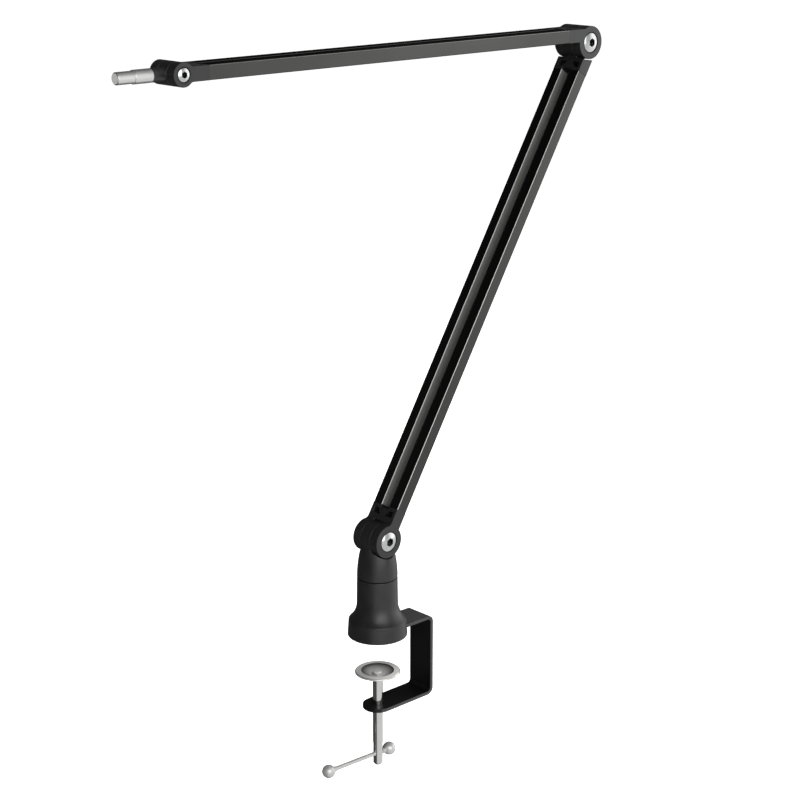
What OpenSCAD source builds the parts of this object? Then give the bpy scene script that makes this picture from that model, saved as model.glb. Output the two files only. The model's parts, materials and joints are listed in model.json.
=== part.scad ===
// Microphone boom arm on a desk clamp.
// Two slotted aluminium arms hang between three friction pivots: on the swivel head, at the elbow
// and at the microphone end. The swivel head turns on a bell-shaped housing that a bent steel
// bracket and a spindle with a sliding bar clamp to the edge of a desk.
// Millimetres. The origin is the centre of the desk pad's underside, +Z is up, the arms lie in the
// XZ plane, the bracket's spine is on the +X side and the pivot screws face -Y.

/* [Pose at rest] */
// Lean of the lower arm from the vertical towards +X, in degrees
lean = 31.6; // [10:0.1:60]

/* [Arms] */
// Length of the lower arm between its pivots, along the profile
lower_len = 425; // [250:5:600]
// Length of the upper arm between its pivots, along the profile
upper_len = 400; // [250:5:600]
// Width of both arms along the pivots
arm_w = 27; // [26:0.5:32]
// Depth of both arms
arm_t = 10.2; // [9:0.1:11]
// Width of the cable groove along the front of each arm
groove_w = 8.8; // [6:0.2:9.2]
// Thickness of the groove's floor
floor_t = 1.4; // [1:0.1:2.5]
// Thickness of the walls round the two hollow chambers
chamber_wall = 1.3; // [1:0.1:1.6]
// Radius of the long edges of the profiles
edge_r = 0.7; // [0.3:0.1:0.9]
// Distance of the elbow pivot in front of the lower arm's middle
lower_offset = 4.5; // [4:0.1:5.4]
// Distance of the upper arm's middle above the elbow pivot
upper_offset = 6; // [5.8:0.1:6.8]

/* [Pivots] */
// Height of the base pivot above the desk
base_pivot_z = 80.5; // [80:0.5:95]
// Radius of the knuckles and ears at the base and the elbow
ear_r = 13; // [12:0.1:13.4]
// Radius of the knuckle and ears at the microphone end
mic_ear_r = 8.2; // [8:0.1:9.5]
// Width of each pivot's middle knuckle
knuckle_w = 10; // [9.4:0.1:11]
// Thickness of the friction washers
washer_t = 0.5; // [0.4:0.1:0.8]
// Running clearance between faces that slide
run = 0.05; // [0.03:0.01:0.1]
// Radius of the curve where a base or elbow ear meets its arm
ear_fillet = 4; // [2:0.5:4]
// Radius of the curve where a microphone ear meets the upper arm
mic_fillet = 3; // [1.5:0.5:4]
// Head diameter of the base and elbow pivot screws
pivot_head_d = 15.2; // [14:0.2:17]
// Thread diameter of the base and elbow pivot screws
pivot_d = 8; // [7:0.5:8.5]
// Wall of the sleeve nut round a pivot screw
sleeve_wall = 2; // [1.5:0.1:2.2]
// Hexagon socket across flats in the base and elbow screws
pivot_socket = 6; // [4:0.5:6]
// Head diameter of the microphone pivot screw
mic_head_d = 9.4; // [9:0.2:10.4]
// Thread diameter of the microphone pivot screw
mic_pivot_d = 5; // [4:0.5:5]
// Wall of the microphone pivot's sleeve nut
mic_sleeve_wall = 1; // [0.8:0.1:1.2]
// Hexagon socket across flats in the microphone pivot screw
mic_socket = 4; // [2:0.5:4]

/* [Arm fittings] */
// Distance from the base pivot to the lower arm's first seam
base_seam = 25.4; // [24:0.2:34]
// Distance from the elbow pivot to the seams on both sides of it
elbow_seam = 25; // [24:0.2:34]
// Distance from the microphone pivot to its seam
mic_seam = 21.5; // [19:0.5:30]
// Length of a fitting's spigots inside the profile
spigot_len = 16; // [14:0.5:30]
// Gap from an ear's rim to the end of the lower arm
elbow_rim_gap = 1.3; // [0.8:0.1:2]
// Wall outside the two windows of a fitting
window_wall = 3.1; // [2:0.1:4]
// Bar between a fitting's windows and the profile
window_bar = 3; // [2.5:0.1:4]
// Height of the windows along the arm
window_h = 4.6; // [3:0.1:5]
// Diameter of the screws that fix the fittings
fix_d = 3; // [2.5:0.1:3.2]

/* [Swivel head and housing] */
// Height of the swivel seam above the desk
seam_z = 48.5; // [44:0.5:50]
// Width of the swivel seam
seam_gap = 0.5; // [0.3:0.1:0.8]
// Diameter of the housing at the swivel seam
neck_d = 31.8; // [30:0.1:34]
// Diameter of the flange at the desk
flange_d = 47; // [46:0.5:60]
// Height of the flange's wall
flange_h = 13.5; // [12:0.5:16]
// Taper of the flange's wall, on the radius
flange_draft = 0.8; // [0:0.1:1.2]
// Height at which the flare ends in the neck
flare_top = 27.5; // [25:0.5:32]
// Thread diameter of the swivel bolt
swivel_d = 10; // [8:0.5:10]
// Wall of the swivel bush
bush_wall = 1.9; // [1.5:0.1:2.5]
// Thickness of the desk pad
pad_t = 3; // [2:0.5:4]
// Diameter of the desk pad
pad_d = 40; // [38:0.5:41]

/* [Clamp] */
// Thickness of the steel bracket
plate_t = 3; // [2.5:0.5:3.5]
// Width of the steel bracket
plate_w = 24; // [22:0.5:28]
// Outer face of the bracket's spine, from the spindle's axis
spine_x = 49.5; // [40:0.5:80]
// Underside of the bracket's leg, below the desk
leg_drop = 62.4; // [55:0.2:90]
// Inner radius of the bracket's bends
bend_r = 3; // [2:0.5:5]
// Diameter of the spindle at its thread
spindle_d = 8; // [7:0.5:10]
// Diameter of the spindle's plain lower end
plain_d = 7.5; // [6.5:0.1:7.9]
// Length of the spindle's plain lower end
plain_len = 19; // [14:0.5:25]
// Drop of the spindle's lower end below the desk
spindle_drop = 112.5; // [105:0.5:150]
// Height of the bar's hole above the spindle's lower end
bar_up = 9.9; // [8:0.1:14]
// Diameter of the sliding bar
bar_d = 3.3; // [2.4:0.1:3.6]
// Turn of the bar about the spindle at rest, in degrees
bar_turn = -3; // [-90:1:90]
// Diameter of the collar where a ball meets the bar
collar_d = 4.2; // [3.9:0.1:5]
// Length of that collar
collar_len = 1.6; // [1:0.1:2]
// Distance between the centres of the bar's balls
ball_span = 61.8; // [50:0.2:80]
// Distance of the +X ball's centre from the spindle's axis
ball_near = 11.7; // [10.2:0.1:40]
// Diameter of the bar's balls
ball_d = 10.6; // [9:0.1:12]
// Diameter of the pressure disc
disc_d = 36; // [30:0.5:44]
// Drop of the pressure disc's flat rim below the desk
disc_drop = 30.6; // [5:0.1:36]
// Depth of the pressure disc's dish
dish_h = 3.6; // [3:0.1:6]
// Radius of the dish's mouth
dish_r = 13; // [11:0.1:13.5]
// Thickness of the pressure disc's sheet
disc_t = 1.2; // [1:0.1:1.6]
// Height of the disc's rolled edge
rim_h = 1.8; // [1.6:0.1:3]
// Diameter of the spindle's head in the dish
rivet_d = 7.2; // [6:0.1:9]
// Height of the spindle's head above the dish's floor
rivet_h = 2.7; // [1.5:0.1:2.9]

/* [Microphone end] */
// Diameter of the neck that carries the stud
mic_neck_d = 9.4; // [8.4:0.1:9.4]
// Distance from the microphone pivot to the end of the neck
mic_neck_len = 17.5; // [14:0.5:30]
// Diameter of the stud's plain shoulder
shoulder_d = 9.5; // [9:0.1:10]
// Length of the stud's plain shoulder
shoulder_len = 14.2; // [8:0.2:25]
// Diameter of the stud's threaded end, at the flanks
stud_d = 8.5; // [6:0.1:8.8]
// Length of the stud's threaded end
stud_len = 13.5; // [8:0.5:25]

/* [Hidden] */
$fn = 96;
// Clearance of a loose fit, of a seated piece and of a cut that runs through a face
loose = 0.15;
seat = 0.05;
through = 1;
// Broken edge of the turned pieces
edge_break = 0.4;

// Pivot stack across the arms: washers, ears and the recesses for the screw heads
ear_in = knuckle_w / 2 + washer_t + 2 * run;
saddle_gap = 0.7;
sweep_gap = 0.8;
recess_h = 2.6;
recess_gap = 0.6;
head_h = 2.4;
dome_h = 1.8;
mic_dome_h = 1.1;
nut_head_h = 1.9;
spring_t = 0.6;
spring_in = 0.4;
spring_d = pivot_head_d - 2 * spring_in;
sleeve_d = pivot_d + 2 * sleeve_wall;
mic_sleeve_d = mic_pivot_d + 2 * mic_sleeve_wall;
washer_in = 1;
washer_d = 2 * (ear_r - washer_in);
mic_washer_d = 2 * (mic_ear_r - washer_in);
socket_depth = 2.8;
sleeve_short = 1.5;
thread_past = 0.8;
screw_short = 2;
screw_reach = recess_h + screw_short - arm_w / 2;

// Arm section
flank_w = (arm_w - groove_w) / 2;
flank_y = (arm_w + groove_w) / 4;
chamber_w = flank_w - 2 * chamber_wall;
chamber_t = arm_t - 2 * chamber_wall;
spigot_gap = 0.1;
groove_run = 2;
window_back = 2;
window_in_far = 6.2;
window_in_near = 2.5;
fix_head_d = 5.6;
fix_head_h = 1.5;
fix_socket = 1.8;
fix_from_seam = spigot_len / 2;
fix_len = 6.5;
tongue_top = 0.6 * ear_r;

// Housing, bush and swivel bolt
housing_bottom = 0.3;
plate_z = pad_t;
housing_top = seam_z - seam_gap / 2;
head_bottom = seam_z + seam_gap / 2;
neck_r = neck_d / 2;
flange_top_r = flange_d / 2 - flange_draft;
flare_step = 0.3;
flare_in = flange_top_r - neck_r - flare_step;
flare_r = (pow(flare_in, 2) + pow(flare_top - flange_h, 2)) / (2 * flare_in);
bolt_head_r = 8;
bolt_head_h = 8;
bolt_head_gap = 1.5;
bolt_head_z = plate_z + plate_t + bolt_head_gap;
swivel_spring_t = 0.8;
swivel_spring_rise = 0.5;
swivel_washer_t = 0.7;
swivel_spring_in = 0.7;
pocket_gap = 1.5;
pocket_r = bolt_head_r + pocket_gap;
stack_t = 2 * (swivel_spring_t + swivel_spring_rise + run) + swivel_washer_t;
pocket_top = bolt_head_z + bolt_head_h + stack_t + run;
bush_r = swivel_d / 2 + bush_wall;
bush_flange_r = 13;
bush_flange_t = 1.6;
bolt_grip = 17;
bolt_socket = 8;
bolt_socket_depth = 4;
head_top_drop = 4.5;
head_top = base_pivot_z - head_top_drop;
head_tall = head_top - head_bottom;
crown_in = 4;
crown_r = (pow(crown_in, 2) + pow(head_tall, 2)) / (2 * crown_in);

// Bracket and its screws
plate_top = plate_z + plate_t;
plate_end_x = -20.5;
screw_x = 14.5;
screw_d = 5;
screw_head_d = 9;
screw_head_h = 2.2;
screw_len = 14;
screw_socket = 3;
screw_socket_depth = 1.8;
access_r = 5;
bend_out = bend_r + plate_t;
leg_z = -leg_drop;

// Spindle and pressure disc
neck_in_disc_d = 5;
rivet_edge = 0.8;
disc_top = -disc_drop;
disc_floor = disc_top - dish_h;
dish_ball_r = (pow(dish_r, 2) + pow(dish_h, 2)) / (2 * dish_h);
rim_edge = 0.8;
rim_w = 1.2;
spindle_top = disc_floor - disc_t - run;
spindle_bottom = -spindle_drop;
spindle_chamfer = 1.6;
bar_z = spindle_bottom + bar_up;
bar_in_ball = 4;
bar_low = ball_near - ball_span + ball_d / 2 - bar_in_ball;
bar_len = ball_span - ball_d + 2 * bar_in_ball;

// Stud inside the neck
stud_shank_d = 5;
stud_shank_len = 7;
tip_chamfer = 0.8;
shoulder_chamfer = 0.4;

// Places of the pivots
elbow_x = lower_len * sin(lean) - lower_offset * cos(lean);
elbow_z = base_pivot_z + lower_len * cos(lean) + lower_offset * sin(lean);

// Frames: each has its Z along the arm and its Y along the pivots

module at_base() {
    translate([0, 0, base_pivot_z]) rotate([0, lean, 0]) children();
}

// The elbow pivot as the lower arm sees it, with the arm below it and its groove facing -X
module at_elbow_low() {
    at_base() translate([-lower_offset, 0, lower_len]) children();
}

// The elbow pivot as the upper arm sees it, with its groove facing +X
module at_elbow_up() {
    translate([elbow_x, 0, elbow_z]) rotate([0, -90, 0]) children();
}

// The microphone pivot, with the upper arm below it
module at_mic() {
    at_elbow_up() translate([upper_offset, 0, upper_len]) children();
}

// Shapes that several pieces use

// A rod along Y from y0 to y1
module y_rod(r, y0, y1) {
    translate([0, y1, 0]) rotate([90, 0, 0]) cylinder(r = r, h = y1 - y0);
}

// A box from one corner to the other
module span_box(low, high) {
    translate(low) cube(high - low);
}

// A rectangle with round corners, centred
module round_rect(w, h, r) {
    square([w - 2 * r, h], center = true);
    square([w, h - 2 * r], center = true);
    for (i = [-1, 1])
        for (j = [-1, 1])
            translate([i * (w / 2 - r), j * (h / 2 - r)]) circle(r = r, $fn = 32);
}

// The curve that blends an ear of radius r into an arm edge at x = edge
module ear_blend(r, edge, fillet) {
    middle = edge + fillet;
    up = sqrt(pow(r + fillet, 2) - pow(middle, 2));
    difference() {
        polygon([[0, 0], [middle, up], [edge, up]]);
        translate([middle, up]) circle(r = fillet);
    }
}

// An ear: a disc that grows into the arm's side between x0 and x1
module ear_outline(r, x0, x1, len, fillet0, fillet1) {
    circle(r = r);
    translate([x0, 0]) square([x1 - x0, len]);
    if (fillet1 > 0)
        ear_blend(r, x1, fillet1);
    if (fillet0 > 0)
        mirror([1, 0]) ear_blend(r, -x0, fillet0);
}

// Both ears of a fork, with a round recess for the screw head and for the nut
module ears(r, x0, x1, len, fillet0, fillet1, head_d, sleeve) {
    difference() {
        for (side = [0, 1])
            mirror([0, side, 0])
                translate([0, arm_w / 2, 0]) rotate([90, 0, 0])
                    linear_extrude(height = arm_w / 2 - ear_in)
                        ear_outline(r, x0, x1, len, fillet0, fillet1);
        y_rod(sleeve / 2 + run, -arm_w, arm_w);
        for (side = [0, 1])
            mirror([0, side, 0])
                y_rod(head_d / 2 + recess_gap, arm_w / 2 - recess_h, arm_w);
    }
}

// The block between a fork's ears and its seam, from near to seam along the arm. Its front is at
// +X, where the profile's groove runs on into it.
module fitting_body(near, seam) {
    front = arm_t / 2;
    difference() {
        span_box([-front, -arm_w / 2, near], [front, arm_w / 2, seam]);
        span_box([floor_t - front, -groove_w / 2, seam - groove_run],
            [front + through, groove_w / 2, seam + through]);
    }
}

// A fitting's two windows, open to the front, with a web between them that narrows to the pivot
module windows(seam) {
    top = seam - window_bar;
    low = top - window_h;
    side_y = arm_w / 2 - window_wall;
    for (side = [0, 1])
        mirror([0, side, 0])
            translate([arm_t / 2 + through, 0, 0]) rotate([0, -90, 0])
                linear_extrude(height = arm_t - window_back + through)
                    polygon([
                        [low, window_in_near], [top, window_in_far], [top, side_y], [low, side_y]
                    ]);
}

// Two spigots that plug into the profile's chambers, drilled for their fixing screws
module spigots(seam) {
    w = chamber_w / 2 - spigot_gap;
    t = chamber_t / 2 - spigot_gap;
    difference() {
        for (side = [-1, 1])
            translate([0, side * flank_y, 0])
                span_box([-t, -w, seam - groove_run], [t, w, seam + spigot_len]);
        fixing_holes(seam + fix_from_seam);
    }
}

// The pair of holes from the back face, at -X, for the fixing screws
module fixing_holes(along) {
    for (side = [-1, 1])
        translate([-arm_t / 2, side * flank_y, along]) rotate([0, 90, 0]) {
            cylinder(r = fix_d / 2 + seat, h = fix_len + seat);
            translate([0, 0, -through]) cylinder(r = fix_head_d / 2 + seat, h = through);
            cylinder(r1 = fix_head_d / 2 + seat, r2 = fix_d / 2 + seat, h = fix_head_h);
        }
}

// The pair of countersunk fixing screws in those holes
module fixing_screws(along) {
    for (side = [-1, 1])
        translate([-arm_t / 2, side * flank_y, along]) rotate([0, 90, 0])
            difference() {
                union() {
                    cylinder(r = fix_d / 2, h = fix_len);
                    cylinder(r1 = fix_head_d / 2, r2 = fix_d / 2, h = fix_head_h);
                }
                translate([0, 0, -through])
                    cylinder(d = fix_socket / cos(30), h = through + fix_head_h, $fn = 6);
            }
}

// An arm's extruded section, seen along the arm with the groove at +X
module arm_section() {
    difference() {
        union() {
            for (side = [-1, 1])
                translate([0, side * flank_y]) round_rect(arm_t, flank_w, edge_r);
            translate([-arm_t / 2, -groove_w / 2 - edge_r]) square([floor_t, groove_w + 2 * edge_r]);
        }
        for (side = [-1, 1])
            translate([0, side * flank_y]) square([chamber_t, chamber_w], center = true);
    }
}

// A profile between two seams, drilled for the fixing screws at both ends
module arm_profile(low, high) {
    difference() {
        translate([0, 0, low]) linear_extrude(height = high - low) arm_section();
        fixing_holes(low + fix_from_seam);
        fixing_holes(high - fix_from_seam);
    }
}

// A pivot screw: button head with a hexagon socket, facing -Y, and a plain shank for its thread
module pivot_screw(head_d, d, socket, dome) {
    seat_y = arm_w / 2 - recess_h;
    ball_r = (pow(head_d / 2, 2) + pow(dome, 2)) / (2 * dome);
    rotate([90, 0, 0]) difference() {
        union() {
            translate([0, 0, seat_y]) cylinder(r = head_d / 2, h = head_h);
            intersection() {
                translate([0, 0, seat_y + head_h + dome - ball_r]) sphere(r = ball_r, $fn = 96);
                translate([0, 0, seat_y + head_h - seat]) cylinder(r = head_d / 2, h = 2 * dome);
            }
            translate([0, 0, screw_reach]) cylinder(r = d / 2, h = seat_y - screw_reach + seat);
        }
        translate([0, 0, seat_y + head_h + dome - socket_depth])
            cylinder(d = socket / cos(30), h = socket_depth + through, $fn = 6);
    }
}

// A sleeve nut: a flat head facing +Y, and a sleeve that the knuckle turns on
module sleeve_nut(head_d, d, sleeve, under_head) {
    seat_y = arm_w / 2 - recess_h + under_head;
    difference() {
        union() {
            y_rod(head_d / 2, seat_y, arm_w / 2 - recess_h + nut_head_h);
            y_rod(sleeve / 2, sleeve_short - arm_w / 2 + recess_h, seat_y + seat);
        }
        y_rod(d / 2 + seat, -arm_w, seat_y + thread_past);
    }
}

// The pair of friction washers beside a knuckle
module friction_washers(outer, sleeve) {
    for (side = [0, 1])
        mirror([0, side, 0])
            difference() {
                y_rod(outer / 2, knuckle_w / 2 + run, knuckle_w / 2 + run + washer_t);
                y_rod(sleeve / 2 + run, -arm_w, arm_w);
            }
}

// The disc spring under a sleeve nut's head
module disc_spring(outer, sleeve) {
    difference() {
        y_rod(outer / 2, arm_w / 2 - recess_h, arm_w / 2 - recess_h + spring_t);
        y_rod(sleeve / 2 + run, -arm_w, arm_w);
    }
}

// Clamp and housing

module base_housing() {
    color("#2c2d2f") difference() {
        rotate_extrude() difference() {
            polygon([
                [0, housing_bottom], [flange_d / 2 - edge_break, housing_bottom],
                [flange_d / 2, housing_bottom + edge_break], [flange_top_r, flange_h],
                [neck_r + flare_step, flare_top], [neck_r, housing_top - edge_break],
                [neck_r - edge_break, housing_top], [0, housing_top]
            ]);
            translate([neck_r + flare_step + flare_r, flare_top]) circle(r = flare_r, $fn = 180);
        }
        // Recess of the desk pad
        translate([0, 0, -through]) cylinder(r = pad_d / 2 + loose, h = pad_t + through);
        // Slot and bed of the bracket's top plate
        translate([0, 0, plate_z - seat])
            plate_plan(plate_end_x + plate_w / 2, plate_t + 2 * seat, loose);
        // Pocket of the bolt head, bore of the bush and seat of its flange
        translate([0, 0, plate_z]) cylinder(r = pocket_r, h = pocket_top - plate_z);
        cylinder(r = bush_r + seat, h = seam_z + through);
        translate([0, 0, housing_top - bush_flange_t])
            cylinder(r = bush_flange_r + loose, h = bush_flange_t + through);
        for (x = [-screw_x, screw_x])
            translate([x, 0, plate_z]) cylinder(r = screw_d / 2 + seat, h = screw_len + through);
    }
}

module desk_pad() {
    color("#151515") cylinder(r = pad_d / 2, h = pad_t - seat);
}

module clamp_bracket() {
    far = 2 * spine_x;
    color("#1d1e20") difference() {
        intersection() {
            translate([0, plate_w / 2, 0]) rotate([90, 0, 0]) linear_extrude(height = plate_w)
                difference() {
                    bent_outline(spine_x, leg_z, plate_top, bend_out, far);
                    bent_outline(spine_x - plate_t, leg_z + plate_t, plate_z, bend_r, far + through);
                }
            union() {
                translate([0, 0, leg_z - through]) plate_plan(0, bend_out + through, 0);
                translate([spine_x / 2, -plate_w / 2, leg_z + plate_t])
                    cube([spine_x, plate_w, plate_z - leg_z]);
                translate([0, 0, plate_z - bend_r])
                    plate_plan(plate_end_x + plate_w / 2, bend_out + through, 0);
            }
        }
        translate([0, 0, leg_z - through]) cylinder(r = spindle_d / 2 + run, h = plate_t + 2 * through);
        translate([0, 0, plate_z - through]) cylinder(r = access_r, h = plate_t + 2 * through);
        for (x = [-screw_x, screw_x])
            translate([x, 0, plate_z]) {
                translate([0, 0, -through]) cylinder(r = screw_d / 2 + loose, h = plate_t + 2 * through);
                translate([0, 0, -through]) cylinder(r = screw_head_d / 2 + seat, h = through);
                cylinder(r1 = screw_head_d / 2 + seat, r2 = screw_d / 2 + loose, h = screw_head_h);
            }
    }
}

// The bracket seen from the side: everything left of the spine between two heights
module bent_outline(right, low, high, r, far) {
    translate([right - far, low]) square([far - r, high - low]);
    translate([right - r, low + r]) square([r, high - low - 2 * r]);
    for (z = [low + r, high - r])
        translate([right - r, z]) circle(r = r, $fn = 64);
}

// The bracket seen from above: a strip that runs to +X from a round end about x, grown by more
module plate_plan(x, h, more) {
    half_w = plate_w / 2 + more;
    linear_extrude(height = h) {
        translate([x, 0]) circle(r = half_w);
        translate([x, -half_w]) square([2 * spine_x, 2 * half_w]);
    }
}

module bracket_screws() {
    color("#8d8f92")
        for (x = [-screw_x, screw_x])
            translate([x, 0, plate_z]) difference() {
                union() {
                    cylinder(r = screw_d / 2, h = screw_len);
                    cylinder(r1 = screw_head_d / 2, r2 = screw_d / 2, h = screw_head_h);
                }
                translate([0, 0, -through])
                    cylinder(d = screw_socket / cos(30), h = through + screw_socket_depth, $fn = 6);
            }
}

module swivel_bush() {
    color("#d9d6cc") difference() {
        union() {
            translate([0, 0, pocket_top]) cylinder(r = bush_r, h = housing_top - pocket_top);
            translate([0, 0, housing_top - bush_flange_t])
                cylinder(r = bush_flange_r, h = bush_flange_t + seam_gap - 2 * run);
        }
        translate([0, 0, pocket_top - through]) cylinder(r = swivel_d / 2 + run, h = seam_z);
    }
}

module swivel_head() {
    color("#2c2d2f") difference() {
        union() {
            difference() {
                rotate_extrude() intersection() {
                    polygon([
                        [0, head_bottom], [neck_r - edge_break, head_bottom],
                        [neck_r, head_bottom + edge_break], [neck_r, head_top], [0, head_top]
                    ]);
                    translate([neck_r - crown_r, head_bottom]) circle(r = crown_r, $fn = 360);
                }
                // Saddles that clear the fork's ears
                for (side = [0, 1])
                    mirror([0, side, 0])
                        translate([0, 0, base_pivot_z])
                            y_rod(ear_r + saddle_gap, knuckle_w / 2, arm_w);
            }
            translate([0, 0, base_pivot_z]) y_rod(ear_r, -knuckle_w / 2, knuckle_w / 2);
        }
        translate([0, 0, base_pivot_z]) y_rod(sleeve_d / 2 + run, -arm_w, arm_w);
        translate([0, 0, head_bottom - through])
            cylinder(r = swivel_d / 2 + seat, h = bolt_grip + through);
    }
}

module swivel_bolt() {
    color("#9a9b9d") translate([0, 0, bolt_head_z]) difference() {
        union() {
            cylinder(r = bolt_head_r, h = bolt_head_h);
            cylinder(r = swivel_d / 2, h = head_bottom + bolt_grip - through - bolt_head_z);
        }
        translate([0, 0, -through])
            cylinder(d = bolt_socket / cos(30), h = through + bolt_socket_depth, $fn = 6);
    }
}

// Two disc springs, wide side out, and a flat washer on top of the bolt's head
module swivel_springs() {
    r_in = swivel_d / 2 + loose;
    r_out = pocket_r - swivel_spring_in;
    step = swivel_spring_t + swivel_spring_rise + run;
    color("#77787a") translate([0, 0, bolt_head_z + bolt_head_h]) rotate_extrude() {
        polygon([
            [r_in, swivel_spring_rise], [r_out, 0],
            [r_out, swivel_spring_t], [r_in, step - run]
        ]);
        translate([0, step]) polygon([
            [r_in, 0], [r_out, swivel_spring_rise], [r_out, step - run], [r_in, swivel_spring_t]
        ]);
        translate([r_in, 2 * step]) square([r_out - r_in, swivel_washer_t]);
    }
}

// Spindle

// The dish is part of a ball: this is that ball, grown by more
module dish_ball(more) {
    translate([0, 0, disc_floor + dish_ball_r]) sphere(r = dish_ball_r + more, $fn = 160);
}

module pressure_disc() {
    edge = disc_d / 2;
    bowl_low = disc_floor - 2 * disc_t;
    color("#d4d6d8") difference() {
        union() {
            rotate_extrude() polygon([
                [0, disc_top], [edge - rim_edge, disc_top], [edge, disc_top - rim_edge],
                [edge, disc_top - rim_h], [edge - rim_w, disc_top - rim_h],
                [edge - rim_w, disc_top - disc_t], [0, disc_top - disc_t]
            ]);
            intersection() {
                dish_ball(disc_t);
                translate([0, 0, bowl_low]) cylinder(r = edge, h = disc_top - disc_t / 2 - bowl_low);
            }
        }
        dish_ball(0);
        // Flat seat of the spindle's head, and the hole below it
        translate([0, 0, disc_floor]) cylinder(r = rivet_d / 2 + run, h = dish_h);
        translate([0, 0, bowl_low]) cylinder(r = neck_in_disc_d / 2 + run, h = 3 * disc_t);
    }
}

module clamp_spindle() {
    neck_top = disc_floor + run;
    rivet_top = disc_floor + rivet_h;
    plain_top = spindle_bottom + plain_len;
    step = (spindle_d - plain_d) / 2;
    color("#b9bbbe") difference() {
        rotate_extrude() polygon([
            [0, spindle_bottom], [plain_d / 2 - spindle_chamfer, spindle_bottom],
            [plain_d / 2, spindle_bottom + spindle_chamfer],
            [plain_d / 2, plain_top], [spindle_d / 2, plain_top + step],
            [spindle_d / 2, spindle_top], [neck_in_disc_d / 2, spindle_top],
            [neck_in_disc_d / 2, neck_top], [rivet_d / 2, neck_top],
            [rivet_d / 2, rivet_top - rivet_edge], [rivet_d / 2 - rivet_edge, rivet_top], [0, rivet_top]
        ]);
        at_bar(-spindle_d) cylinder(r = bar_d / 2 + run, h = 2 * spindle_d);
    }
}

// A place on the bar's axis, x from the spindle's axis, with Z along the bar
module at_bar(x) {
    translate([0, 0, bar_z]) rotate([0, 0, bar_turn]) translate([x, 0, 0]) rotate([0, 90, 0])
        children();
}

module handle_bar() {
    color("#c6c8ca") at_bar(bar_low) cylinder(r = bar_d / 2, h = bar_len);
}

module handle_balls() {
    collar_reach = ball_d / 2 + collar_len;
    color("#c6c8ca") difference() {
        union() {
            at_bar(ball_near - ball_span) {
                sphere(r = ball_d / 2);
                cylinder(r = collar_d / 2, h = collar_reach);
            }
            at_bar(ball_near) {
                sphere(r = ball_d / 2);
                mirror([0, 0, 1]) cylinder(r = collar_d / 2, h = collar_reach);
            }
        }
        at_bar(bar_low - seat) cylinder(r = bar_d / 2 + seat, h = bar_len + 2 * seat);
    }
}

// Lower arm

module base_fork() {
    color("#303133") at_base() difference() {
        union() {
            ears(ear_r, -arm_t / 2, arm_t / 2, base_seam, ear_fillet, 0,
                pivot_head_d, sleeve_d);
            difference() {
                mirror([1, 0, 0]) fitting_body(0, base_seam);
                y_rod(ear_r + sweep_gap, -ear_in, ear_in);
                y_rod(ear_r, -arm_w, arm_w);
            }
            mirror([1, 0, 0]) spigots(base_seam);
        }
        mirror([1, 0, 0]) windows(base_seam);
    }
}

module lower_profile() {
    color("#232426") at_base() mirror([1, 0, 0]) arm_profile(base_seam, lower_len - elbow_seam);
}

module elbow_tongue() {
    end = ear_r + elbow_rim_gap;
    color("#303133") at_elbow_low() difference() {
        union() {
            y_rod(ear_r, -knuckle_w / 2, knuckle_w / 2);
            translate([lower_offset, 0, 0]) mirror([1, 0, 0]) mirror([0, 0, 1]) {
                span_box([-arm_t / 2, -knuckle_w / 2, tongue_top],
                    [arm_t / 2, knuckle_w / 2, end + through]);
                difference() {
                    fitting_body(0, elbow_seam);
                    translate([lower_offset, 0, 0]) y_rod(end, -arm_w, arm_w);
                    windows(elbow_seam);
                }
                spigots(elbow_seam);
            }
        }
        y_rod(sleeve_d / 2 + run, -arm_w, arm_w);
    }
}

module lower_fixing_screws() {
    color("#55575a") at_base() mirror([1, 0, 0]) {
        fixing_screws(base_seam + fix_from_seam);
        fixing_screws(lower_len - elbow_seam - fix_from_seam);
    }
}

module base_pivot_screw() {
    color("#d0d2d4") at_base() pivot_screw(pivot_head_d, pivot_d, pivot_socket, dome_h);
}

module base_pivot_nut() {
    color("#d0d2d4") at_base() sleeve_nut(pivot_head_d, pivot_d, sleeve_d, spring_t);
}

module base_washers() {
    color("#101010") at_base() friction_washers(washer_d, sleeve_d);
}

module base_disc_spring() {
    color("#8d8f92") at_base() disc_spring(spring_d, sleeve_d);
}

// Upper arm

module elbow_fork() {
    x0 = upper_offset - arm_t / 2;
    x1 = upper_offset + arm_t / 2;
    color("#303133") at_elbow_up() difference() {
        union() {
            ears(ear_r, x0, x1, elbow_seam, 0, ear_fillet, pivot_head_d, sleeve_d);
            difference() {
                translate([upper_offset, 0, 0]) fitting_body(0, elbow_seam);
                y_rod(ear_r + sweep_gap, -ear_in, ear_in);
                y_rod(ear_r - seat, -arm_w, arm_w);
            }
            translate([upper_offset, 0, 0]) spigots(elbow_seam);
        }
        translate([upper_offset, 0, 0]) windows(elbow_seam);
    }
}

module upper_profile() {
    color("#232426") at_elbow_up() translate([upper_offset, 0, 0])
        arm_profile(elbow_seam, upper_len - mic_seam);
}

module mic_fork() {
    color("#303133") at_mic() mirror([0, 0, 1]) difference() {
        union() {
            ears(mic_ear_r, -arm_t / 2, arm_t / 2, mic_seam, mic_fillet, mic_fillet,
                mic_head_d, mic_sleeve_d);
            difference() {
                fitting_body(0, mic_seam);
                y_rod(mic_ear_r + sweep_gap, -ear_in, ear_in);
                y_rod(mic_ear_r - seat, -arm_w, arm_w);
            }
            spigots(mic_seam);
        }
        windows(mic_seam);
    }
}

module upper_fixing_screws() {
    color("#55575a") at_elbow_up() translate([upper_offset, 0, 0]) {
        fixing_screws(elbow_seam + fix_from_seam);
        fixing_screws(upper_len - mic_seam - fix_from_seam);
    }
}

module elbow_pivot_screw() {
    color("#d0d2d4") at_elbow_up()
        pivot_screw(pivot_head_d, pivot_d, pivot_socket, dome_h);
}

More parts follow.
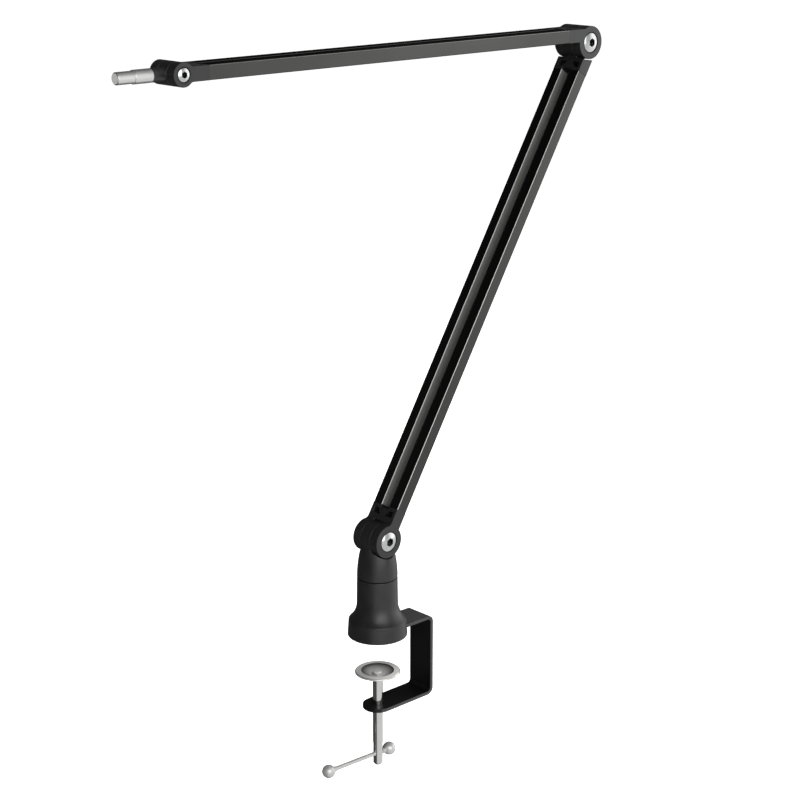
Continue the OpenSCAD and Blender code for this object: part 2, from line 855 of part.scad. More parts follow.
module elbow_pivot_nut() {
    color("#d0d2d4") at_elbow_up() sleeve_nut(pivot_head_d, pivot_d, sleeve_d, spring_t);
}

module elbow_washers() {
    color("#101010") at_elbow_up() friction_washers(washer_d, sleeve_d);
}

module elbow_disc_spring() {
    color("#8d8f92") at_elbow_up() disc_spring(spring_d, sleeve_d);
}

// Microphone end

module mic_knuckle() {
    color("#303133") at_mic() difference() {
        union() {
            y_rod(mic_ear_r, -knuckle_w / 2, knuckle_w / 2);
            cylinder(r = mic_neck_d / 2, h = mic_neck_len);
        }
        y_rod(mic_sleeve_d / 2 + run, -arm_w, arm_w);
        translate([0, 0, mic_neck_len - stud_shank_len - seat])
            cylinder(r = stud_shank_d / 2 + seat, h = stud_shank_len + through);
    }
}

module mic_stud() {
    shoulder_end = mic_neck_len + shoulder_len;
    tip = shoulder_end + stud_len;
    color("#c2c4c6") at_mic() rotate_extrude() polygon([
        [0, mic_neck_len - stud_shank_len], [stud_shank_d / 2, mic_neck_len - stud_shank_len],
        [stud_shank_d / 2, mic_neck_len], [shoulder_d / 2, mic_neck_len],
        [shoulder_d / 2, shoulder_end - shoulder_chamfer],
        [shoulder_d / 2 - shoulder_chamfer, shoulder_end], [stud_d / 2, shoulder_end],
        [stud_d / 2, tip - tip_chamfer], [stud_d / 2 - tip_chamfer, tip], [0, tip]
    ]);
}

module mic_pivot_screw() {
    color("#d0d2d4") at_mic() pivot_screw(mic_head_d, mic_pivot_d, mic_socket, mic_dome_h);
}

module mic_pivot_nut() {
    color("#d0d2d4") at_mic() sleeve_nut(mic_head_d, mic_pivot_d, mic_sleeve_d, 0);
}

module mic_washers() {
    color("#101010") at_mic() friction_washers(mic_washer_d, mic_sleeve_d);
}

base_housing();
desk_pad();
clamp_bracket();
bracket_screws();
swivel_bush();
swivel_head();
swivel_bolt();
swivel_springs();
pressure_disc();
clamp_spindle();
handle_bar();
handle_balls();
base_fork();
lower_profile();
elbow_tongue();
lower_fixing_screws();
base_pivot_screw();
base_pivot_nut();
base_washers();
base_disc_spring();
elbow_fork();
upper_profile();
mic_fork();
upper_fixing_screws();
elbow_pivot_screw();
elbow_pivot_nut();
elbow_washers();
elbow_disc_spring();
mic_knuckle();
mic_stud();
mic_pivot_screw();
mic_pivot_nut();
mic_washers();
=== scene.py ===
"""Looks of the microphone boom arm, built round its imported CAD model.

Metres, in the CAD's own frame: the origin is the centre of the desk pad's underside, +Z is up, the
arms lie in the XZ plane and the pivot screws face -Y.
"""

import json
import math

import bpy
from mathutils import Euler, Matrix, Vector

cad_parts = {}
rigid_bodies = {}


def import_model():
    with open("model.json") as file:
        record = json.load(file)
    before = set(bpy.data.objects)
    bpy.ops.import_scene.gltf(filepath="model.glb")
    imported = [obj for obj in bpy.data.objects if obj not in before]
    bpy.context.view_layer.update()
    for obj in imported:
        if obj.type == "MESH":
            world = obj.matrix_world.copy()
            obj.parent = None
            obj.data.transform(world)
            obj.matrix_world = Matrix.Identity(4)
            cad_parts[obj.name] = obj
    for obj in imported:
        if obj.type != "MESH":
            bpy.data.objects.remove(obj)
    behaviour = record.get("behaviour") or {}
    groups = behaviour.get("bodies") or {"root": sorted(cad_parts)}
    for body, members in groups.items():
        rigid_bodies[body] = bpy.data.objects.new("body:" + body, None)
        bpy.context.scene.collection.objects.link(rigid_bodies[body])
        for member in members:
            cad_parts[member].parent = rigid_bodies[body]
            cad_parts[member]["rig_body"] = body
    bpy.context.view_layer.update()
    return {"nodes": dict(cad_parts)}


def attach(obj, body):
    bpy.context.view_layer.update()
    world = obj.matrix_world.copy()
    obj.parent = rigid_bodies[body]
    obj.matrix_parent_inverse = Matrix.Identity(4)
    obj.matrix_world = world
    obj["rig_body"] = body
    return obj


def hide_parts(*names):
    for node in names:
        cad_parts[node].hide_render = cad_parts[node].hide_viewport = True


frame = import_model()

MM = 0.001
# The lower arm's lean from the vertical
LEAN = math.radians(31.6)
# Pivots of the three knuckles
BASE = Vector((0, 0, 80.5)) * MM
ELBOW = Vector((218.861, 0, 444.842)) * MM
MIC = Vector((-181.139, 0, 450.842)) * MM
PIVOTS = {"base": BASE, "elbow": ELBOW, "mic": MIC}
# Turns from Z to the pivots' axis, and to the stud's
ACROSS = (math.radians(90), 0, 0)
ALONG = (0, math.radians(-90), 0)

# Materials


def srgb(hex_code):
    """A colour written as sRGB hex, as the linear RGBA that the shaders take."""
    parts = [int(hex_code[i:i + 2], 16) / 255 for i in (1, 3, 5)]
    return [p / 12.92 if p <= 0.04045 else ((p + 0.055) / 1.055) ** 2.4 for p in parts] + [1.0]


def add_node(tree, kind, settings=None, values=None, links=None):
    """Adds a node, sets its properties and its sockets' values, and joins its inputs to outputs."""
    made = tree.nodes.new(kind)
    for name, value in (settings or {}).items():
        setattr(made, name, value)
    for name, value in (values or {}).items():
        made.inputs[name].default_value = value
    for name, output in (links or {}).items():
        tree.links.new(output, made.inputs[name])
    return made


def new_material(name, values):
    """An empty node material with one Principled shader. Returns the material, its tree and the shader."""
    material = bpy.data.materials.new(name)
    material.use_nodes = True
    tree = material.node_tree
    tree.nodes.clear()
    shader = add_node(tree, "ShaderNodeBsdfPrincipled", values=values)
    add_node(tree, "ShaderNodeOutputMaterial", links={"Surface": shader.outputs["BSDF"]})
    return material, tree, shader


def patterned(tree, shader, tone, colours, spread, relief, gloss=None):
    """Lets patterns vary a shader's colour, its surface and, where gloss is given, its roughness.

    Where the pattern tone rises through spread, the colour goes from the first to the second, and so
    does the roughness. relief is a height pattern, its strength and its depth in millimetres.
    """
    ramp = add_node(tree, "ShaderNodeValToRGB", None, None, {"Fac": tone})
    for stop, position, colour in zip(ramp.color_ramp.elements, spread, colours):
        stop.position = position
        stop.color = srgb(colour)
    tree.links.new(ramp.outputs["Color"], shader.inputs["Base Color"])
    if gloss:
        level = add_node(tree, "ShaderNodeMapRange", None,
                         {"From Min": spread[0], "From Max": spread[1],
                          "To Min": gloss[0], "To Max": gloss[1]},
                         {"Value": tone})
        tree.links.new(level.outputs["Result"], shader.inputs["Roughness"])
    height, strength, depth = relief
    skin = add_node(tree, "ShaderNodeBump", None, {"Strength": strength, "Distance": depth * MM},
                    {"Height": height})
    tree.links.new(skin.outputs["Normal"], shader.inputs["Normal"])


def anodised_aluminium(name, lean):
    """Extruded aluminium, matt black anodised. The die leaves faint lines along the arm, and the coat
    is a thin dark oxide over bright metal, so it mirrors darkly."""
    material, tree, shader = new_material(
        name, {"Metallic": 1.0, "Roughness": 0.3, "Specular Tint": srgb("#303030")})
    place = add_node(tree, "ShaderNodeTexCoord")
    # Die lines: 0.4 mm apart across the arm, and hundreds of millimetres long
    along = add_node(tree, "ShaderNodeMapping", {"vector_type": "TEXTURE"},
                     {"Rotation": (0, lean, 0), "Scale": (1, 1, 400)}, {"Vector": place.outputs["Object"]})
    lines = add_node(tree, "ShaderNodeTexNoise", None, {"Scale": 2500.0, "Detail": 2.0},
                     {"Vector": along.outputs["Vector"]})
    # Matt etch under the oxide: grains of about 0.15 mm, drawn coarser than the real 0.02 mm to show
    grain = add_node(tree, "ShaderNodeTexNoise", None, {"Scale": 6500.0, "Detail": 1.0},
                     {"Vector": place.outputs["Object"]})
    # Handling: patches of 60 mm with a slightly other gloss
    patches = add_node(tree, "ShaderNodeTexNoise", None, {"Scale": 16.0, "Detail": 3.0},
                       {"Vector": place.outputs["Object"]})
    gloss = add_node(tree, "ShaderNodeMapRange", None,
                     {"From Min": 0.35, "From Max": 0.65, "To Min": 0.17, "To Max": 0.24},
                     {"Value": patches.outputs["Fac"]})
    tree.links.new(gloss.outputs["Result"], shader.inputs["Roughness"])
    coat = add_node(tree, "ShaderNodeValToRGB", None, None, {"Fac": lines.outputs["Fac"]})
    coat.color_ramp.elements[0].color = srgb("#4a4a49")
    coat.color_ramp.elements[1].color = srgb("#50504f")
    tree.links.new(coat.outputs["Color"], shader.inputs["Base Color"])
    scored = add_node(tree, "ShaderNodeBump", None, {"Strength": 0.05, "Distance": 0.02 * MM},
                      {"Height": lines.outputs["Fac"]})
    grained = add_node(tree, "ShaderNodeBump", None, {"Strength": 0.08, "Distance": 0.01 * MM},
                       {"Height": grain.outputs["Fac"], "Normal": scored.outputs["Normal"]})
    tree.links.new(grained.outputs["Normal"], shader.inputs["Normal"])
    return material


def sprayed_coat(name, colours, roughness, specular):
    """Black paint or powder sprayed on metal: a soft sheen with a fine orange peel, and a gloss that
    wanders where hands have been."""
    material, tree, shader = new_material(
        name, {"Roughness": roughness, "IOR": 1.5, "Specular IOR Level": specular})
    place = add_node(tree, "ShaderNodeTexCoord")
    # Orange peel of the sprayed coat, waves of about 0.8 mm
    peel = add_node(tree, "ShaderNodeTexNoise", None, {"Scale": 1200.0, "Detail": 2.0},
                    {"Vector": place.outputs["Object"]})
    # Uneven gloss from handling, patches of 12 mm
    patches = add_node(tree, "ShaderNodeTexNoise", None, {"Scale": 80.0, "Detail": 3.0},
                       {"Vector": place.outputs["Object"]})
    patterned(tree, shader, patches.outputs["Fac"], colours, (0.35, 0.65), (peel.outputs["Fac"], 0.12, 0.02),
              (roughness - 0.04, roughness + 0.04))
    return material


def bright_metal(name, colours, roughness, marks, metallic=1.0):
    """Plated, oxidised or bare metal with faint marks of its polishing, marks millimetres wide. It
    mirrors at metallic 1, and a lower value gives the milky scatter of a satin plating."""
    material, tree, shader = new_material(name, {"Metallic": metallic, "Roughness": roughness})
    place = add_node(tree, "ShaderNodeTexCoord")
    buffed = add_node(tree, "ShaderNodeTexNoise", None, {"Scale": 1 / (marks * MM), "Detail": 3.0},
                      {"Vector": place.outputs["Object"]})
    patterned(tree, shader, buffed.outputs["Fac"], colours, (0.3, 0.7), (buffed.outputs["Fac"], 0.01, 0.01),
              (roughness * 0.93, roughness * 1.07))
    return material


def turned_metal(name, colours, roughness, centre, axis_turn, metallic=1.0, bite=0.05):
    """Turned steel: rings of the lathe tool round the axis, which passes through centre and lies
    along Z after axis_turn."""
    material, tree, shader = new_material(name, {"Metallic": metallic, "Roughness": roughness})
    place = add_node(tree, "ShaderNodeTexCoord")
    about = add_node(tree, "ShaderNodeMapping", {"vector_type": "TEXTURE"},
                     {"Location": tuple(centre), "Rotation": axis_turn}, {"Vector": place.outputs["Object"]})
    flat = add_node(tree, "ShaderNodeVectorMath", {"operation": "MULTIPLY"}, {1: (1, 1, 0)},
                    {0: about.outputs["Vector"]})
    radius = add_node(tree, "ShaderNodeVectorMath", {"operation": "LENGTH"}, None,
                      {0: flat.outputs["Vector"]})
    height = add_node(tree, "ShaderNodeSeparateXYZ", None, None, {"Vector": about.outputs["Vector"]})
    reach = add_node(tree, "ShaderNodeMath", {"operation": "ADD"}, None,
                     {0: radius.outputs["Value"], 1: height.outputs["Z"]})
    # Tool marks 0.25 mm apart, on the faces as on the barrel
    rings = add_node(tree, "ShaderNodeTexNoise", {"noise_dimensions": "1D"},
                     {"Scale": 4000.0, "Detail": 2.0}, {"W": reach.outputs["Value"]})
    patterned(tree, shader, rings.outputs["Fac"], colours, (0.3, 0.7), (rings.outputs["Fac"], bite, 0.01),
              (roughness * 0.9, roughness * 1.1))
    return material


def painted_reflection_dish(name, colours, roughness, metallic):
    """The dish of a pressed disc on the Z axis, with a painted reflection that is light in the middle and
    dark up the wall. The grading stands for the light and dark crescents that a more polished dish mirrors."""
    material, tree, shader = new_material(name, {"Metallic": metallic, "Roughness": roughness})
    place = add_node(tree, "ShaderNodeTexCoord")
    flat = add_node(tree, "ShaderNodeVectorMath", {"operation": "MULTIPLY"}, {1: (1, 1, 0)},
                    {0: place.outputs["Object"]})
    radius = add_node(tree, "ShaderNodeVectorMath", {"operation": "LENGTH"}, None,
                      {0: flat.outputs["Vector"]})
    # Painted reflection: bright up to 4 mm from the axis, and fully dark just inside the dish's mouth at 13
    # mm
    reflection_grading = add_node(tree, "ShaderNodeMapRange", None,
                     {"From Min": 4 * MM, "From Max": 12.5 * MM, "To Min": 0.0, "To Max": 1.0},
                     {"Value": radius.outputs["Value"]})
    # Rings left by the press tool, 0.5 mm apart
    rings = add_node(tree, "ShaderNodeTexNoise", {"noise_dimensions": "1D"},
                     {"Scale": 2000.0, "Detail": 1.0}, {"W": radius.outputs["Value"]})
    patterned(tree, shader, reflection_grading.outputs["Result"], colours, (0.0, 1.0), (rings.outputs["Fac"], 0.03, 0.01))
    return material


def moulded_polymer(name, colours, roughness, grain):
    """Moulded plastic or rubber with a fine spark-eroded grain, grain millimetres wide."""
    material, tree, shader = new_material(name, {"Roughness": roughness, "IOR": 1.5})
    place = add_node(tree, "ShaderNodeTexCoord")
    texture = add_node(tree, "ShaderNodeTexNoise", None, {"Scale": 1 / (grain * MM), "Detail": 3.0},
                       {"Vector": place.outputs["Object"]})
    patterned(tree, shader, texture.outputs["Fac"], colours, (0.0, 1.0), (texture.outputs["Fac"], 0.3, 0.03))
    return material


# The two arms: dark mirrors with die lines along each arm's own length
LOWER_ALUMINIUM = anodised_aluminium("anodised_aluminium_lower", LEAN)
UPPER_ALUMINIUM = anodised_aluminium("anodised_aluminium_upper", -math.pi / 2)
# Satin black paint on die-cast aluminium: a broad soft sheen on the knuckles and the housing
CASTING = sprayed_coat("satin_painted_casting", ("#1c1c1c", "#212121"), 0.36, 0.55)
# Black powder coat on the bent strip: nearly black, with little sheen
POWDER = sprayed_coat("powder_coated_steel", ("#0b0b0b", "#0f0f0f"), 0.45, 0.3)
# The same coat with painted light: a grey line along the strip's edges and a paler top
POWDER_PAINTED_LIGHT = sprayed_coat("powder_coat_painted_light", ("#363636", "#3b3b3b"), 0.4, 0.5)
# Chrome plating on the spindle: a clear mirror with a dark strip down its left
CHROME = bright_metal("chrome_plated_steel", ("#dadad8", "#dededc"), 0.12, 6)
# Plain zinc plating on the bolts and springs inside: a bluish grey
ZINC = bright_metal("plain_zinc_plated_steel", ("#a9abae", "#bcbec0"), 0.25, 2)
# Black oxide on screws: dark with a dull shine. In the pivot screws' sockets the same dark is painted shade
OXIDE_AND_SOCKET_SHADE = bright_metal("black_oxide_and_socket_shade", ("#2a2a2c", "#343436"), 0.35, 2)
# Turned steel stud: a soft bright band along it that fades to its top and bottom
STUD = turned_metal("turned_steel_stud", ("#d8d8d6", "#dddddb"), 0.32, MIC, ALONG, 0.9, 0.004)
# Satin nickel on the disc's edge and underside: milky and light
SATIN = bright_metal("satin_nickel_plated_steel", ("#e2e1de", "#e8e7e4"), 0.24, 6, 0.7)
# The same plating where it is matt, on the disc's rim, the spindle's head and the stud's end: a
# light grey from any side
RIM = bright_metal("satin_nickel_plated_rim", ("#d6d5d2", "#dcdbd8"), 0.34, 6, 0.15)
# Nickel on the bar and its balls: a soft grey, between a mirror and matt
BALL = bright_metal("polished_nickel_ball", ("#c8c8c6", "#cececc"), 0.38, 6, 0.55)
# Nickel in the dish, with a painted reflection: light in the middle, dark round the wall
DISH_PAINTED_REFLECTION = painted_reflection_dish("nickel_dish_painted_reflection", ("#f0f0ee", "#3c3c3b"), 0.3, 0.3)
# Aluminium with a painted highlight: a fine light line along the arms' near edges, and along the
# lower arm's groove
PAINTED_EDGE_HIGHLIGHT = bright_metal("aluminium_edge_painted_highlight", ("#a2a2a0", "#acacaa"), 0.3, 6)
# Aluminium with painted light on the groove's walls: the grey stripe in the lower arm
GROOVE_WALL_PAINTED_LIGHT = bright_metal("groove_wall_painted_light", ("#858481", "#8c8b88"), 0.5, 1.5, 0.3)
# Black acetal on the bush and the washers: dull and dark
BEARING = moulded_polymer("moulded_acetal_bearing", ("#1b1b1b", "#242424"), 0.5, 0.4)
# Black rubber on the desk pad: matt and grained
RUBBER = moulded_polymer("moulded_rubber_pad", ("#121212", "#191919"), 0.8, 0.6)
# Zinc plating on the turned heads of the pivots: bright discs with faint rings round each axis
PIVOT_METAL = {
    place: turned_metal("zinc_plated_pivot_" + place, ("#c9cacb", "#d3d4d4"), 0.18, pivot, ACROSS)
    for place, pivot in PIVOTS.items()
}

# Pieces

# Corners closer than MERGED are one corner, and triangles flatter than FLAT are one face
MERGED = 0.002 * MM
FLAT = math.radians(0.6)
# Edges that bend by more than SHARP are rounded, and the light flows over bends up to SMOOTH
SHARP = math.radians(40)
SMOOTH = math.radians(35)
# A face looks along an axis where its normal has more than this part along it
FACING = 0.9


def only(piece):
    """Selects this piece alone and makes it the active one."""
    bpy.ops.object.select_all(action="DESELECT")
    piece.select_set(True)
    bpy.context.view_layer.objects.active = piece


def finished(piece, node, material):
    """Gives a piece its shading and material, and lets it stand for its CAD node on the node's body."""
    only(piece)
    bpy.ops.object.shade_smooth_by_angle(angle=SMOOTH)
    # The roundings take the bend, and the flat faces beside them stay flat in the light
    flats = piece.modifiers.new("flat_faces", "WEIGHTED_NORMAL")
    flats.mode = "FACE_AREA"
    flats.weight = 100
    flats.keep_sharp = True
    bpy.ops.object.modifier_apply(modifier=flats.name)
    piece.data.materials.clear()
    piece.data.materials.append(material)
    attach(piece, frame["nodes"][node]["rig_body"])
    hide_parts(node)
    return piece


def edged(node, name, material, radius, segments=3):
    """A copy of a CAD node, its triangles merged and its sharp edges rounded to radius millimetres."""
    piece = bpy.data.objects.new(name, frame["nodes"][node].data.copy())
    bpy.context.scene.collection.objects.link(piece)
    only(piece)
    bpy.ops.object.mode_set(mode="EDIT")
    bpy.ops.mesh.select_all(action="SELECT")
    bpy.ops.mesh.remove_doubles(threshold=MERGED)
    bpy.ops.mesh.dissolve_limited(angle_limit=FLAT)
    bpy.ops.object.mode_set(mode="OBJECT")
    rounding = piece.modifiers.new("edge_rounding", "BEVEL")
    rounding.limit_method = "ANGLE"
    rounding.angle_limit = SHARP
    rounding.width = radius * MM
    rounding.segments = segments
    rounding.use_clamp_overlap = False
    bpy.ops.object.modifier_apply(modifier=rounding.name)
    return finished(piece, node, material)


def refinished(piece, material, chosen):
    """Gives the faces that chosen picks another material than the rest of the piece."""
    slot = len(piece.data.materials)
    piece.data.materials.append(material)
    for face in piece.data.polygons:
        if chosen(face):
            face.material_index = slot


def top_of(piece):
    """The height of a piece's highest point."""
    return max(vertex.co.z for vertex in piece.data.vertices)


for node, name, radius in (
        ("base_housing", "housing_casting", 0.3), ("swivel_head", "head_casting", 0.35),
        ("base_fork", "base_fork_casting", 0.3), ("elbow_tongue", "elbow_tongue_casting", 0.3),
        ("elbow_fork", "elbow_fork_casting", 0.3), ("mic_fork", "mic_fork_casting", 0.25),
        ("mic_knuckle", "mic_knuckle_casting", 0.3)):
    edged(node, name, CASTING, radius)

# The walls of an arm's cable groove stand 4.4 mm from its middle, which is within this reach
GROOVE_REACH = 4.5 * MM
# The roundings of an arm's near edge, at -13.5 mm, lie beyond this line
NEAR_EDGE = -12 * MM
# A rounding as long as the arm has more square metres than this
LONG_FACE = 20 * MM ** 2


def groove_wall(face):
    """A side wall of the cable groove, which faces the other wall."""
    return abs(face.normal.y) > 0.99 and abs(face.center.y) < GROOVE_REACH


def highlighted_rounding(face, front):
    """A long rounding that faces the pivot screws' side and the arm's front, which carries the painted
    highlight.
    """
    return -0.97 < face.normal.y < -0.15 and face.area > LONG_FACE and face.normal.dot(front) > 0.15


LOWER_FRONT = Vector((-math.cos(LEAN), 0, math.sin(LEAN)))
UPPER_FRONT = Vector((0, 0, 1))
lower_arm = edged("lower_profile", "lower_arm_extrusion", LOWER_ALUMINIUM, 0.1, 2)
# The lower arm's groove walls carry painted light, standing for the light that falls into the groove
refinished(lower_arm, GROOVE_WALL_PAINTED_LIGHT, groove_wall)
# The lower arm's long roundings carry the painted highlight
refinished(lower_arm, PAINTED_EDGE_HIGHLIGHT, lambda face: highlighted_rounding(face, LOWER_FRONT))
# The upper arm's groove gets no painted light, so only its near edge carries the painted highlight
upper_arm = edged("upper_profile", "upper_arm_extrusion", UPPER_ALUMINIUM, 0.1, 2)
refinished(upper_arm, PAINTED_EDGE_HIGHLIGHT, lambda face: highlighted_rounding(face, UPPER_FRONT) and face.center.y < NEAR_EDGE)

strip = edged("clamp_bracket", "bent_strip", POWDER, 0.35)
top_low = top_of(strip) - 0.5 * MM


def painted_light_faces(face):
    """The strip's sheared edges and its top, which carry painted light on the coat."""
    return abs(face.normal.y) > FACING or (face.normal.z > FACING and face.center.z > top_low)


# Painted light on the strip's edges and top
refinished(strip, POWDER_PAINTED_LIGHT, painted_light_faces)

disc = edged("pressure_disc", "pressed_disc", SATIN, 0.2)
rim_low = top_of(disc) - 0.3 * MM


def flat_rim(face):
    """The flat rim round the pressed dish is the disc's highest face."""
    return face.normal.z > FACING and face.center.z > rim_low


def dish_bowl(face):
    """The dish's faces look up and inwards."""
    return face.normal.z > 0.3 and face.normal.xy.dot(face.center.xy) <= 0 and not flat_rim(face)


refinished(disc, RIM, flat_rim)
# The dish's faces carry the painted reflection
refinished(disc, DISH_PAINTED_REFLECTION, dish_bowl)

spindle = edged("clamp_spindle", "spindle_rod", CHROME, 0.15)
head_low = top_of(spindle) - 1.5 * MM
# The riveted head in the dish keeps the plating's satin
refinished(spindle, RIM, lambda face: face.center.z > head_low)
edged("handle_bar", "sliding_bar", BALL, 0.15)
edged("handle_balls", "bar_balls", BALL, 0.15)

# A pivot screw's socket lies within this radius, and its floor between these depths in the head
SOCKET_R = 3 * MM
LEAST_DEPTH = 1 * MM
MOST_DEPTH = 4 * MM


def socket_painted_shade(face, pivot, head_face):
    """A wall or the floor of a pivot screw's socket, which gets painted shade."""
    within = (face.center - pivot).xz.length < SOCKET_R
    depth = face.center.y - head_face
    return within and (abs(face.normal.y) < 0.5 or LEAST_DEPTH < depth < MOST_DEPTH)


for place, pivot in PIVOTS.items():
    screw = edged(place + "_pivot_screw", place + "_screw_head", PIVOT_METAL[place], 0.2)
    head_face = min(vertex.co.y for vertex in screw.data.vertices)
    # The socket's walls and floor are painted dark as shade
    refinished(screw, OXIDE_AND_SOCKET_SHADE, lambda face: socket_painted_shade(face, pivot, head_face))
    edged(place + "_pivot_nut", place + "_sleeve_nut_head", PIVOT_METAL[place], 0.2)
    edged(place + "_washers", place + "_friction_rings", BEARING, 0.05, 1)

stud = edged("mic_stud", "stud_turned", STUD, 0.15)
# The faced end is matt and light
refinished(stud, RIM, lambda face: face.normal.x < -FACING)

for node, name, material, radius, segments in (
        ("bracket_screws", "bracket_screw_pair", ZINC, 0.1, 2),
        ("swivel_bolt", "swivel_bolt_turned", ZINC, 0.2, 2),
        ("swivel_springs", "swivel_spring_stack", ZINC, 0.05, 1),
        ("base_disc_spring", "base_spring_ring", ZINC, 0.05, 1),
        ("elbow_disc_spring", "elbow_spring_ring", ZINC, 0.05, 1),
        ("lower_fixing_screws", "lower_countersunk_screws", OXIDE_AND_SOCKET_SHADE, 0.08, 1),
        ("upper_fixing_screws", "upper_countersunk_screws", OXIDE_AND_SOCKET_SHADE, 0.08, 1),
        ("swivel_bush", "swivel_bearing_bush", BEARING, 0.1, 2),
        ("desk_pad", "rubber_desk_pad", RUBBER, 0.2, 2)):
    edged(node, name, material, radius, segments)

# Floor, light and camera

# Directions in the studio: towards its open front, and towards the large window-like source
OPEN_FRONT = (0.29, -0.957, 0)
SOURCE_SIDE = (0.974, -0.225, 0)
# The floor lies below the arm's lowest reach, as the arm stands on a desk's edge
FLOOR_Z = -0.32
FLOOR_R = 14.0


def room_level(tree, direction, source_level=None):
    """Nodes for how bright the studio is towards a direction: dark behind the arm, soft in front of it,
    and brightest at the right, where the source stands, by source_level if given."""
    front = add_node(tree, "ShaderNodeVectorMath", {"operation": "DOT_PRODUCT"}, {1: OPEN_FRONT},
                     {0: direction})
    right = add_node(tree, "ShaderNodeVectorMath", {"operation": "DOT_PRODUCT"}, {1: SOURCE_SIDE},
                     {0: direction})
    open_side = add_node(tree, "ShaderNodeMapRange", {"interpolation_type": "SMOOTHSTEP"},
                         {"From Min": -0.1, "From Max": 0.4, "To Min": 0.1, "To Max": 1.0},
                         {"Value": front.outputs["Value"]})
    source = add_node(tree, "ShaderNodeMapRange", {"interpolation_type": "SMOOTHSTEP"},
                      {"From Min": 0.65, "From Max": 0.93, "To Min": 0.75, "To Max": 2.0},
                      {"Value": right.outputs["Value"]})
    if source_level:
        tree.links.new(source_level, source.inputs["To Max"])
    level = add_node(tree, "ShaderNodeMath", {"operation": "MULTIPLY"}, None,
                     {0: open_side.outputs["Result"], 1: source.outputs["Result"]})
    return level.outputs["Value"]


def studio_paper():
    """White studio paper: the camera sees it white with the arm's shadow, and the arm is lit by it, and
    mirrors it, with the studio's light and dark sides."""
    paper = bpy.data.materials.new("studio_paper")
    paper.use_nodes = True
    tree = paper.node_tree
    tree.nodes.clear()
    rays = add_node(tree, "ShaderNodeLightPath")
    place = add_node(tree, "ShaderNodeTexCoord")
    level_place = add_node(tree, "ShaderNodeVectorMath", {"operation": "MULTIPLY"}, {1: (1, 1, 0)},
                           {0: place.outputs["Object"]})
    outwards = add_node(tree, "ShaderNodeVectorMath", {"operation": "NORMALIZE"}, None,
                        {0: level_place.outputs["Vector"]})
    # Towards the source the floor brightens from 0.9 to 6 m out, and nearer the clamp it is evenly lit
    reach = add_node(tree, "ShaderNodeVectorMath", {"operation": "LENGTH"}, None,
                     {0: level_place.outputs["Vector"]})
    source_level = add_node(tree, "ShaderNodeMapRange", None,
                            {"From Min": 0.9, "From Max": 6.0, "To Min": 0.8, "To Max": 2.0},
                            {"Value": reach.outputs["Value"]})
    floor_level = room_level(tree, outwards.outputs["Vector"], source_level.outputs["Result"])
    mirrored = add_node(tree, "ShaderNodeEmission", None, None, {"Strength": floor_level})
    matt = add_node(tree, "ShaderNodeBsdfDiffuse", None, {"Color": srgb("#e6e6e6")})
    lift = add_node(tree, "ShaderNodeEmission", None, {"Strength": 0.9})
    seen = add_node(tree, "ShaderNodeAddShader", None, None,
                    {0: matt.outputs["BSDF"], 1: lift.outputs["Emission"]})
    both = add_node(tree, "ShaderNodeMixShader", None, None,
                    {"Fac": rays.outputs["Is Camera Ray"], 1: mirrored.outputs["Emission"],
                     2: seen.outputs["Shader"]})
    add_node(tree, "ShaderNodeOutputMaterial", links={"Surface": both.outputs["Shader"]})
    return paper


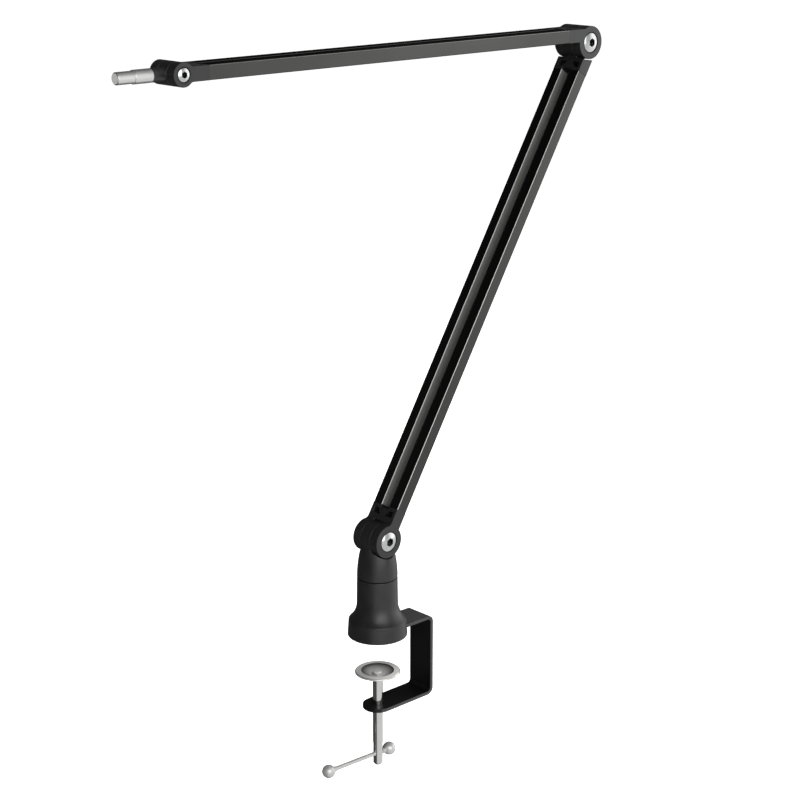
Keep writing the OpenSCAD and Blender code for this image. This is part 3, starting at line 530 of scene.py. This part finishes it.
def studio_room():
    """The world: plain white to the camera, and the studio's light and dark sides to all else."""
    world = bpy.data.worlds.new("studio")
    bpy.context.scene.world = world
    world.use_nodes = True
    tree = world.node_tree
    tree.nodes.clear()
    rays = add_node(tree, "ShaderNodeLightPath")
    place = add_node(tree, "ShaderNodeTexCoord")
    # The studio's ceiling is dark
    height = add_node(tree, "ShaderNodeSeparateXYZ", None, None, {"Vector": place.outputs["Generated"]})
    ceiling = add_node(tree, "ShaderNodeMapRange", {"interpolation_type": "SMOOTHSTEP"},
                       {"From Min": 0.3, "From Max": 0.75, "To Min": 1.0, "To Max": 0.4},
                       {"Value": height.outputs["Z"]})
    sky_level = add_node(tree, "ShaderNodeMath", {"operation": "MULTIPLY"}, None,
                         {0: room_level(tree, place.outputs["Generated"]), 1: ceiling.outputs["Result"]})
    lit = add_node(tree, "ShaderNodeBackground", None, {"Color": (0.75, 0.75, 0.75, 1)},
                   {"Strength": sky_level.outputs["Value"]})
    white = add_node(tree, "ShaderNodeBackground", None, {"Color": (1, 1, 1, 1), "Strength": 1.0})
    both = add_node(tree, "ShaderNodeMixShader", None, None,
                    {"Fac": rays.outputs["Is Camera Ray"], 1: lit.outputs["Background"],
                     2: white.outputs["Background"]})
    add_node(tree, "ShaderNodeOutputWorld", links={"Surface": both.outputs["Shader"]})


def softbox(name, direction, distance, size, radiance, mirrored):
    """A square area light that faces the middle of the arm, as bright as a surface of that radiance.
    One that isn't mirrored only lights the object, and metal doesn't show it."""
    lamp = bpy.data.lights.new(name, "AREA")
    lamp.shape = "SQUARE"
    lamp.size = size
    lamp.energy = radiance * math.pi * size ** 2
    holder = bpy.data.objects.new(name, lamp)
    bpy.context.scene.collection.objects.link(holder)
    middle = Vector((0.02, 0, 0.2))
    away = Vector(direction).normalized()
    holder.location = middle + away * distance
    holder.rotation_euler = away.to_track_quat("Z", "Y").to_euler()
    holder.visible_glossy = mirrored


bpy.ops.object.select_all(action="DESELECT")
bpy.ops.mesh.primitive_circle_add(vertices=96, radius=FLOOR_R, fill_type="NGON", location=(0, 0, FLOOR_Z))
floor = bpy.context.active_object
floor.name = "studio_floor"
bpy.ops.object.transform_apply(location=True, rotation=True, scale=True)
floor.data.materials.append(studio_paper())
studio_room()
softbox("softbox_key", (-0.3, -0.92, 0.35), 2.4, 2.2, 1.9, True)
softbox("softbox_top", (0.75, -0.15, 0.64), 2.4, 1.8, 7.0, False)
softbox("softbox_left", (-0.93, -0.2, 0.3), 2.4, 1.6, 2.5, False)
softbox("softbox_front", (-0.53, -0.70, 0.45), 2.6, 1.3, 0.9, True)

# The photo's viewing angle, from the one camera that fits points all over the object
lens = bpy.data.cameras.new("camera")
lens.sensor_width = 36.0
lens.lens = 84.709
lens.clip_start = 0.05
lens.clip_end = 60
camera = bpy.data.objects.new("camera", lens)
bpy.context.scene.collection.objects.link(camera)
camera.location = (-0.9243, -1.0079, 0.5925)
camera.rotation_euler = Euler((math.radians(90 - 16.344), 0, math.radians(-43.263)))
bpy.context.scene.camera = camera
bpy.context.scene.view_settings.view_transform = "Standard"
